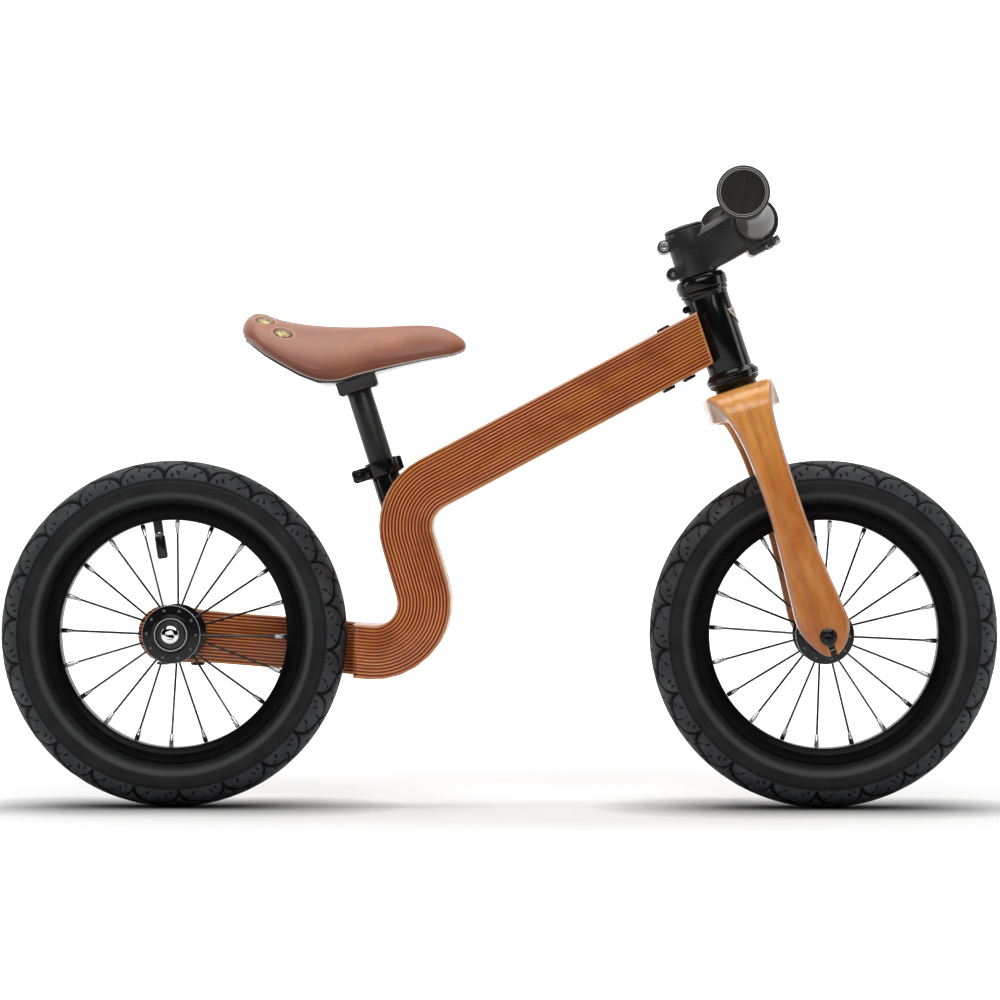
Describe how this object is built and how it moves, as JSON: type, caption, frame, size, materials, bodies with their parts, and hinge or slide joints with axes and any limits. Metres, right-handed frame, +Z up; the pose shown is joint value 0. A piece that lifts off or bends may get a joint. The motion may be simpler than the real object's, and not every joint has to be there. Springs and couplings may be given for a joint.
{
  "type": "balance bike",
  "caption": "Child's balance bike with a bent laminated wood beam frame, a wooden fork, air tyres on spoked wheels and a leather saddle that adjusts in height.",
  "frame": {"origin": "on the ground, below the middle of the wheelbase, in the plane of the wheels", "axes": "+X forwards, +Y to the rider's left, +Z up"},
  "size_m": [0.8388, 0.4028, 0.5223],
  "materials": {
    "plywood": "clear gloss lacquer over bent laminated plies",
    "fork_wood": "clear gloss lacquer",
    "black_paint": "gloss black",
    "rim_and_hub_black": "gloss black anodised",
    "satin_black": "satin black anodised",
    "tyre": "moulded tread, matt",
    "tube_rubber": "matt",
    "grip_rubber": "soft matt",
    "black_plastic": "moulded",
    "saddle_leather": "smooth, waxed",
    "brass": "aged",
    "steel": "plain",
    "chrome": "polished"
  },
  "bodies": {
    "frame": {"frame_beam": "plywood", "head_tube": "black_paint", "tongue_bolt_front": "black_paint", "tongue_bolt_cap_nut": "black_paint", "tongue_bolt_rear": "black_paint", "upper_headset_cup": "black_paint", "lower_headset_cup": "black_paint", "upper_headset_bearing": "steel", "lower_headset_bearing": "steel", "seat_tube": "black_paint", "seat_clamp_collar": "black_paint", "seat_clamp_bolt": "black_paint", "axle_block": "steel", "axle_block_bolt_front": "black_paint", "axle_block_bolt_rear": "black_paint", "rear_axle_bolt": "chrome", "rear_axle_spacer": "steel", "rear_axle_sleeve": "steel"},
    "rear_wheel": {"rear_hub_and_spokes": "rim_and_hub_black", "rear_hub_bearing_left": "steel", "rear_hub_bearing_right": "steel", "rear_rim": "rim_and_hub_black", "rear_inner_tube": "tube_rubber", "rear_tyre": "tyre", "rear_valve_cap": "black_plastic"},
    "steering": {"fork": "fork_wood", "steerer_tube": "satin_black", "crown_race": "black_paint", "headset_top_cover": "black_paint", "stem_body": "satin_black", "stem_faceplate": "satin_black", "faceplate_bolt_upper_left": "steel", "faceplate_bolt_upper_right": "steel", "faceplate_bolt_lower_left": "steel", "faceplate_bolt_lower_right": "steel", "stem_clamp_bolt_upper": "steel", "stem_clamp_bolt_lower": "steel", "stem_top_cap": "satin_black", "top_cap_bolt": "black_paint", "front_axle": "steel", "front_axle_bolt_left": "black_paint", "front_axle_bolt_right": "black_paint", "handlebar": "satin_black", "grip_left": "grip_rubber", "grip_right": "grip_rubber"},
    "front_wheel": {"front_hub_and_spokes": "rim_and_hub_black", "front_hub_bearing_left": "steel", "front_hub_bearing_right": "steel", "front_rim": "rim_and_hub_black", "front_inner_tube": "tube_rubber", "front_tyre": "tyre", "front_valve_cap": "black_plastic"},
    "seat": {"seat_post": "satin_black", "saddle_base": "black_plastic", "saddle_cover": "saddle_leather", "saddle_rivet_left": "brass", "saddle_rivet_centre": "brass", "saddle_rivet_right": "brass", "saddle_rivet_left_corner": "brass", "saddle_rivet_right_corner": "brass"}
  },
  "joints": [
    {"name": "steering", "type": "hinge", "parent": "frame", "child": "steering", "pos_m": [0.1719, 0, 0.439], "axis": [-0.3166, 0, 0.9485], "range_deg": [-90, 90]},
    {"name": "front_wheel_spin", "type": "hinge", "parent": "steering", "child": "front_wheel", "pos_m": [0.2734, 0, 0.146], "axis": [0, 1, 0], "continuous": true},
    {"name": "rear_wheel_spin", "type": "hinge", "parent": "frame", "child": "rear_wheel", "pos_m": [-0.2734, 0, 0.146], "axis": [0, 1, 0], "continuous": true},
    {"name": "seat_height", "type": "slide", "parent": "frame", "child": "seat", "axis": [-0.3007, 0, 0.9537], "range_m": [-0.045, 0.03]}
  ]
}
